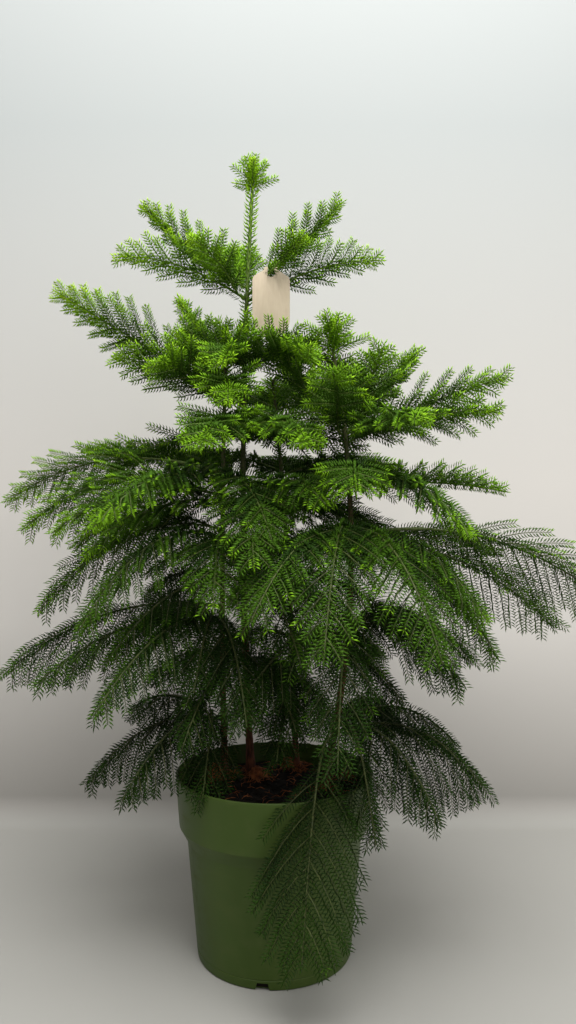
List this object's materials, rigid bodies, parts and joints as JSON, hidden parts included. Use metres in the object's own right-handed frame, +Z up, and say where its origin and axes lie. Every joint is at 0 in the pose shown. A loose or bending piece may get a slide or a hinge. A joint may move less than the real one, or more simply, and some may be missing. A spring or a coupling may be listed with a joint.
{
  "type": "potted norfolk island pine",
  "caption": "Potted Norfolk Island pine: a clump of slender young stems with tiers of feathery needle sprays in a green nursery pot, with a bare hang tag.",
  "frame": {"origin": "centre of the pot's flat underside, which is the height of the floor", "axes": "+Z up along the stems, +X to the right seen from the front, -Y towards the viewer in front"},
  "size_m": [0.8612, 0.6287, 1.1043],
  "materials": {
    "pot_plastic": "muted green moulded polypropylene, satin matte",
    "potting_soil": "dark, damp peat with coir fibres, matte",
    "bark": "thin brown bark, greener towards the tips, matte",
    "young_needles": "bright yellow-green young needles, satin",
    "middle_needles": "mid green needles, satin",
    "old_needles": "dark green older needles, satin",
    "card": "bare beige card, matte"
  },
  "bodies": {
    "root": {"pot": "pot_plastic", "soil": "potting_soil", "stem_tall": "bark", "stem_left": "bark", "stem_right": "bark", "stem_back": "bark", "bough_wide_left": "bark", "bough_lower_left": "bark", "bough_long_right": "bark", "bough_hanging_front": "bark", "foliage_tall_high_left": "young_needles", "foliage_tall_low_left": "young_needles", "foliage_tall_high_right": "young_needles", "foliage_tall_low_right": "young_needles", "foliage_tall_front": "young_needles", "foliage_mid_front_left": "young_needles", "foliage_mid_front_right": "young_needles", "foliage_mid_back_left": "young_needles", "foliage_inner_front": "middle_needles", "foliage_inner_back_left": "middle_needles", "foliage_core_right": "middle_needles", "foliage_deep_left": "old_needles", "foliage_under_front": "old_needles", "foliage_left_long": "young_needles", "foliage_left_low": "young_needles", "foliage_left_back": "young_needles", "foliage_left_front": "young_needles", "foliage_wide_back_left": "middle_needles", "foliage_wide_left": "middle_needles", "foliage_wide_front_left": "middle_needles", "foliage_middle_left": "middle_needles", "foliage_arched_left": "middle_needles", "foliage_middle_front": "middle_needles", "foliage_lower_left": "old_needles", "foliage_lower_middle_left": "old_needles", "foliage_lowest_left": "old_needles", "foliage_right_up_left": "middle_needles", "foliage_right_up": "middle_needles", "foliage_right_side": "middle_needles", "foliage_comb_right": "middle_needles", "foliage_comb_front": "middle_needles", "foliage_long_right": "middle_needles", "foliage_front_left": "middle_needles", "foliage_broad_front_right": "middle_needles", "foliage_broad_back_right": "middle_needles", "foliage_dark_right": "old_needles", "foliage_low_front": "old_needles", "foliage_lowest_right": "old_needles", "foliage_hanging_front": "old_needles", "foliage_lowest_back": "old_needles", "foliage_back_top": "young_needles", "foliage_back_mid": "middle_needles", "foliage_back_mid_right": "middle_needles", "foliage_back_low_left": "middle_needles", "foliage_back_low_right": "middle_needles", "foliage_back_deep_right": "old_needles", "foliage_tall_tuft": "young_needles", "foliage_left_tuft": "young_needles", "foliage_right_tuft": "young_needles", "hang_tag": "card"}
  },
  "joints": []
}
